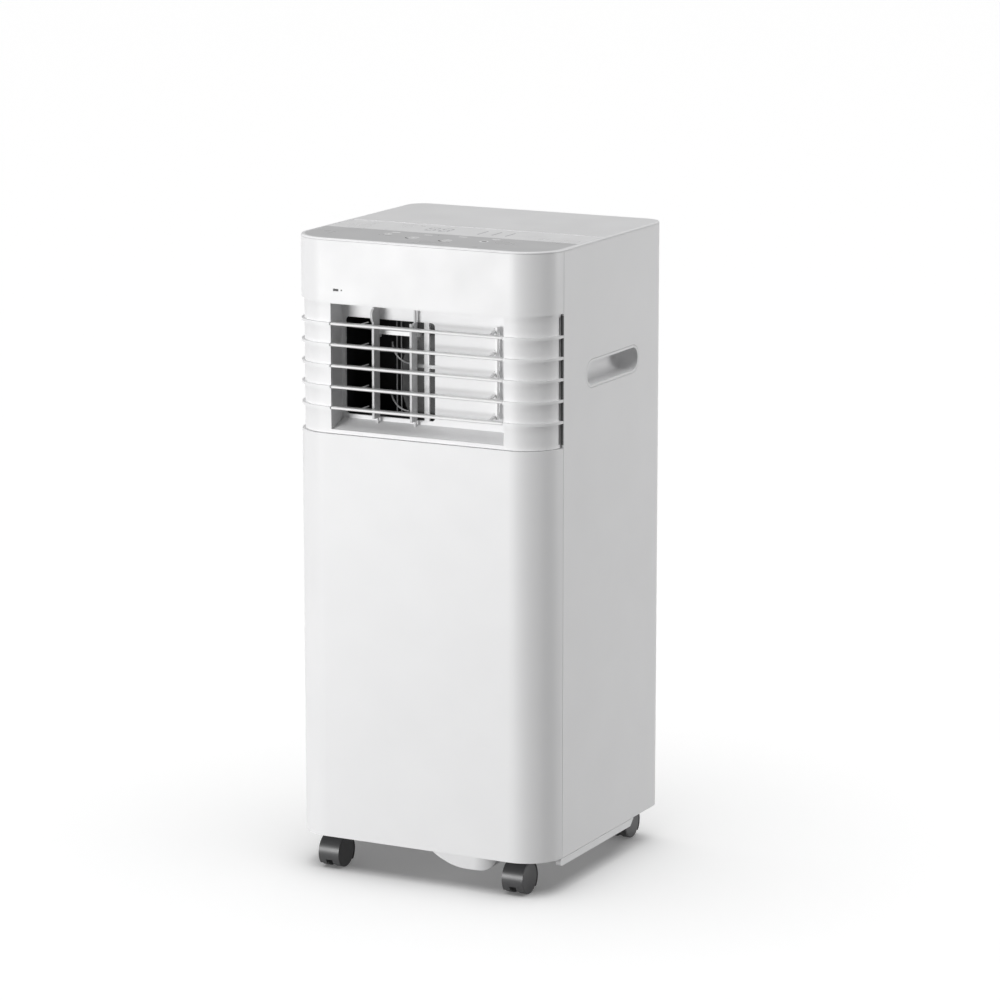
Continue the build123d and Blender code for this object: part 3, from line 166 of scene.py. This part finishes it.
def make_materials():
    """All materials by name."""
    made = {}
    made["shell"] = moulded("shell_white", (0.82, 0.82, 0.825), 0.42)
    made["slat"] = moulded("slat_white", (0.84, 0.84, 0.84), 0.34, 1300)
    made["vane"] = moulded("vane_grey", (0.60, 0.60, 0.605), 0.45)
    made["chamber"] = moulded("chamber_white", (0.81, 0.81, 0.815), 0.5)
    made["strip_grey"] = glossy("strip_grey", (0.68, 0.68, 0.685))
    made["strip_white"] = glossy("strip_white", (0.98, 0.98, 0.985))
    made["dark"] = moulded("dark_plastic", (0.012, 0.012, 0.013), 0.5, 700, 0.00004, 0.15)
    made["wire"] = moulded("wire_grey", (0.1, 0.1, 0.103), 0.35, 700, 0.00004, 0.15)
    # Dark grey painted as the shade at the ends of the louvre band's recess
    made["seal"] = moulded("seal_grey", (0.08, 0.08, 0.082), 0.6, 700, 0.00004, 0.1)
    made["caster"] = moulded("caster_black", (0.055, 0.055, 0.057), 0.36, 800, 0.00004, 0.12)
    made["tread"] = moulded("tread_black", (0.015, 0.015, 0.016), 0.55, 600, 0.00005, 0.15)
    made["rubber"] = moulded("rubber_black", (0.02, 0.02, 0.02), 0.75, 500, 0.00006, 0.15)
    made["mark_white"] = moulded("mark_white", (0.9, 0.9, 0.9), 0.4)
    # Dark grey for the painted shadows at the touch keys
    made["painted_key_shadow"] = moulded("painted_key_shadow", (0.08, 0.08, 0.085), 0.4)
    made["mark_grey"] = moulded("mark_grey", (0.5, 0.5, 0.51), 0.4)
    made["steel"] = brushed_metal("zinc_steel", (0.62, 0.62, 0.63), 0.32)
    made["aluminium"] = brushed_metal("fin_aluminium", (0.78, 0.78, 0.79), 0.35)
    made["copper"] = brushed_metal("copper_tube", (0.72, 0.36, 0.2), 0.3)
    made["iron"] = brushed_metal("cast_iron", (0.2, 0.2, 0.21), 0.55)
    made["enamel"] = moulded("black_enamel", (0.02, 0.02, 0.021), 0.25, 400, 0.00008, 0.1)
    made["mesh"] = woven_mesh()
    made["board"] = moulded("board_green", (0.02, 0.13, 0.05), 0.3, 300, 0.00005, 0.2)
    return {name: entry.material for name, entry in made.items()}


def brushed_metal(name, color, roughness):
    """Drawn or rolled metal with fine streaks along X."""
    material = Material(name, color, roughness, 1.0)
    streaks = material.noise(400, 2, (0.05, 1, 1))
    material.mottle(material.noise(40, 3), 0.06)
    material.vary_roughness(streaks, 0.08)
    return material.bump(streaks, 0.00003, 0.4)


def woven_mesh():
    """Grey filter gauze with a fine square weave."""
    material = Material("filter_gauze", (0.16, 0.16, 0.165), 0.8)
    weave = material.nodes.new("ShaderNodeTexChecker")
    weave.inputs["Scale"].default_value = 700
    material.links.new(material.place, weave.inputs["Vector"])
    mix = material.nodes.new("ShaderNodeMix")
    mix.data_type = "RGBA"
    mix.inputs["A"].default_value = (0.1, 0.1, 0.105, 1)
    mix.inputs["B"].default_value = (0.24, 0.24, 0.245, 1)
    material.links.new(weave.outputs["Fac"], mix.inputs["Factor"])
    material.links.new(mix.outputs["Result"], material.shader.inputs["Base Color"])
    return material.bump(weave.outputs["Fac"], 0.0002, 0.6)


SLOT_LOOK = {
    "shell_white": "shell",
    "strip_grey": "strip_grey",
    "strip_white": "strip_white",
    "slat_white": "slat",
    "vane_grey": "vane",
    "dark_plastic": "dark",
    "caster_black": "caster",
    "steel": "steel",
    "painted_steel": "enamel",
    "aluminium": "aluminium",
    "copper": "copper",
    "iron": "iron",
    "rubber_black": "rubber",
    "mesh_grey": "mesh",
    "board_green": "board",
}
NODE_LOOK = {"outlet_chamber": "chamber", "outlet_guard": "wire"}


def dress_nodes(looks):
    """Gives every CAD node the material of its slot."""
    for entry in frame["record"]["subparts"]:
        name = entry["node"]
        mesh = NODES[name].data
        look = NODE_LOOK.get(name, SLOT_LOOK[entry["material_slot"]])
        mesh.materials.clear()
        mesh.materials.append(looks[look])


# Printed marks and painted key shadows on the lid

def add_piece(name, verts, faces, material, body):
    """A mesh piece that rides on a body."""
    mesh = bpy.data.meshes.new(name)
    mesh.from_pydata(verts, [], faces)
    mesh.update()
    piece = bpy.data.objects.new(name, mesh)
    bpy.context.scene.collection.objects.link(piece)
    mesh.materials.append(material)
    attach(piece, body)
    return piece


def prisms(outlines, z0, z1):
    """Closed flat prisms over plan outlines given in millimetres."""
    verts = []
    faces = []
    for outline in outlines:
        base = len(verts)
        count = len(outline)
        verts += [(x * MM, y * MM, z0) for x, y in outline]
        verts += [(x * MM, y * MM, z1) for x, y in outline]
        faces.append([base + count + index for index in range(count)])
        faces.append([base + index for index in reversed(range(count))])
        for index in range(count):
            after = (index + 1) % count
            faces.append([base + index, base + after, base + count + after, base + count + index])
    return verts, faces


def bar(x0, x1, y0, y1):
    """Rectangle outline."""
    return [(x0, y0), (x1, y0), (x1, y1), (x0, y1)]


def arc_band(x, y, outer, inner, start, end, steps=24):
    """Outline of part of a ring, as a strip of quads. Angles in degrees."""
    quads = []
    for step in range(steps):
        a0 = math.radians(start + (end - start) * step / steps)
        a1 = math.radians(start + (end - start) * (step + 1) / steps)
        quads.append([
            (x + inner * math.cos(a0), y + inner * math.sin(a0)),
            (x + outer * math.cos(a0), y + outer * math.sin(a0)),
            (x + outer * math.cos(a1), y + outer * math.sin(a1)),
            (x + inner * math.cos(a1), y + inner * math.sin(a1)),
        ])
    return quads


def touch_icons():
    """White outlines of the four touch keys and the little bars beside them."""
    white = []
    white += arc_band(-62, -84, 4.6, 3.3, 120, 420)
    white.append(bar(-62.7, -61.3, -83, -77.5))
    for centre in ((-25, -96), (15, -99)):
        white += arc_band(*centre, 5.6, 4.0, 20, 160)
        white += arc_band(*centre, 5.6, 4.0, 200, 340)
        white.append(bar(centre[0] - 0.8, centre[0] + 0.8, centre[1] - 3, centre[1] + 3))
    white += arc_band(52, -88, 4.8, 3.4, 0, 360)
    for x, y in ((-59, -71), (-20, -73), (18, -69), (57, -70)):
        white.append(bar(x - 4.5, x + 4.5, y - 1.3, y + 1.3))
    return white


def icon_shadows():
    """Painted shadows at the touch keys: dark arcs below and left of two rings, and dark bars at
    the other two.
    """
    dark = [bar(-65.5, -63.2, -88, -86.5)]
    for x, y in ((-25, -96), (15, -99)):
        dark += arc_band(x - 1.2, y - 1.2, 7.2, 6.0, 190, 260)
    dark.append(bar(49.5, 54.5, -89.2, -86.8))
    return dark


def display_marks():
    """Faint unlit digits and indicator bars behind the display strip."""
    grey = []
    for x in (-40, -24):
        for y in (-44.5, -34.5, -24.5):
            grey.append(bar(x, x + 8, y, y + 1.6))
        for y in (-42.5, -32.5):
            grey.append(bar(x - 1.6, x - 0.2, y, y + 7.4))
            grey.append(bar(x + 8.2, x + 9.6, y, y + 7.4))
    for x in (22, 38, 54):
        grey.append(bar(x, x + 1.6, -46, -22))
    return grey


def add_marks(looks):
    """Printed marks and painted key shadows on the two strips of the lid."""
    strip_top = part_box("control_strip")[1].z
    for name, outlines, look in (
        ("touch_icons", touch_icons(), "mark_white"),
        ("icon_shadows", icon_shadows(), "painted_key_shadow"),
        ("display_marks", display_marks(), "mark_grey"),
    ):
        verts, faces = prisms(outlines, strip_top - MARK_LIFT, strip_top + MARK_LIFT)
        add_piece(name, verts, faces, looks[look], "casing")


# Painted shade strips between the louvre band and the side panels

def add_seals(looks):
    """Dark strips painted as shade at the ends of the recess between the ribs, on both sides,
    where the side panels' edges lie in shadow.
    """
    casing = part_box("right_side_panel")
    low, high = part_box("louvre_band")
    seam = casing[0].y
    ribs = sorted(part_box(f"slat_{number}")[0].z + SLAT_LOW for number in range(1, 6))
    gaps = [low.z + RIB_HALF, *ribs, high.z]
    outlines = []
    for side in (-1, 1):
        x0, x1 = sorted((side * (high.x - SHADE_STRIP_RECESS), side * (high.x - SHADE_STRIP_SINK)))
        outlines.append(bar(x0 / MM, x1 / MM, (seam - SHADE_STRIP_WIDTH) / MM, (seam - SHADE_STRIP_SINK) / MM))
    verts = []
    faces = []
    for bottom, top in zip(gaps, gaps[1:]):
        more_verts, more_faces = prisms(outlines, bottom + RIB_HALF, top - RIB_HALF)
        faces += [[len(verts) + index for index in face] for face in more_faces]
        verts += more_verts
    add_piece("side_seals", verts, faces, looks["seal"], "casing")


# Studio

def make_floor():
    """Large pale floor that doesn't throw light back up onto the object."""
    mesh = bpy.data.meshes.new("floor")
    corners = bar(-FLOOR_HALF, FLOOR_HALF, -FLOOR_HALF, FLOOR_HALF)
    mesh.from_pydata([(x, y, 0) for x, y in corners], [], [(0, 1, 2, 3)])
    floor = bpy.data.objects.new("floor", mesh)
    bpy.context.scene.collection.objects.link(floor)
    material = Material("floor_pale", (0.98, 0.98, 0.98), 0.9)
    material.shader.inputs["Emission Color"].default_value = (1, 1, 1, 1)
    material.shader.inputs["Emission Strength"].default_value = FLOOR_GLOW
    mesh.materials.append(material.material)
    floor.visible_diffuse = False
    return floor


def direction(azimuth, elevation):
    """Unit vector away from the object. Azimuth 0 is in front of it, 90 to its right."""
    a, e = math.radians(azimuth), math.radians(elevation)
    return Vector((math.sin(a) * math.cos(e), -math.cos(a) * math.cos(e), math.sin(e)))


def place_light(name, lamp, azimuth, elevation, distance):
    """Puts a lamp round the object, facing it."""
    light = bpy.data.objects.new(name, lamp)
    bpy.context.scene.collection.objects.link(light)
    away = direction(azimuth, elevation)
    light.location = Vector((0, 0, LIGHT_AIM_Z)) + away * distance
    light.rotation_mode = "QUATERNION"
    light.rotation_quaternion = (-away).to_track_quat("-Z", "Y")
    return light


def soft_box(name, azimuth, elevation, size, irradiance):
    """Rectangular lamp that gives the object this irradiance from SOFT_BOX_DISTANCE away."""
    lamp = bpy.data.lights.new(name, "AREA")
    lamp.shape = "RECTANGLE"
    lamp.size, lamp.size_y = size
    lamp.energy = irradiance * math.pi * SOFT_BOX_DISTANCE ** 2
    return place_light(name, lamp, azimuth, elevation, SOFT_BOX_DISTANCE)


def soft_sun(name, energy):
    """Wide soft light from straight above."""
    lamp = bpy.data.lights.new(name, "SUN")
    lamp.energy = energy
    lamp.angle = math.radians(SUN_SPREAD)
    return place_light(name, lamp, 0, 90, SUN_DISTANCE)


def link_floor(light, floor, state):
    """Keeps a light off the floor, or on the floor only."""
    receivers = bpy.data.collections.new(f"{light.name}_receivers")
    receivers.objects.link(floor)
    receivers.collection_objects[0].light_linking.link_state = state
    light.light_linking.receiver_collection = receivers


def make_studio(floor):
    """Two soft boxes for the object, wide overhead light and a dim even surround."""
    world = bpy.data.worlds.new("studio")
    bpy.context.scene.world = world
    world.use_nodes = True
    background = world.node_tree.nodes["Background"]
    background.inputs["Color"].default_value = (1, 1, 1, 1)
    background.inputs["Strength"].default_value = SURROUND_STRENGTH
    key = soft_box("key", *KEY_BOX)
    side = soft_box("side", *SIDE_BOX)
    for light in (key, side):
        link_floor(light, floor, "EXCLUDE")
    soft_sun("overhead", OVERHEAD_ENERGY)
    link_floor(soft_sun("floor_light", FLOOR_LIGHT_ENERGY), floor, "INCLUDE")
    bpy.context.scene.view_settings.view_transform = "Standard"


def make_camera():
    """Camera at the photograph's angle."""
    camera = bpy.data.objects.new("camera", bpy.data.cameras.new("camera"))
    bpy.context.scene.collection.objects.link(camera)
    back = direction(CAMERA_AZIMUTH, CAMERA_ELEVATION)
    camera.location = Vector(CAMERA_AIM) + back * CAMERA_DISTANCE
    camera.rotation_mode = "QUATERNION"
    camera.rotation_quaternion = (-back).to_track_quat("-Z", "Y")
    camera.data.lens = CAMERA_LENS
    camera.data.sensor_width = CAMERA_SENSOR
    camera.data.clip_end = CAMERA_CLIP_END
    bpy.context.scene.camera = camera


LOOKS = make_materials()
dress_nodes(LOOKS)
add_marks(LOOKS)
add_seals(LOOKS)
make_studio(make_floor())
make_camera()
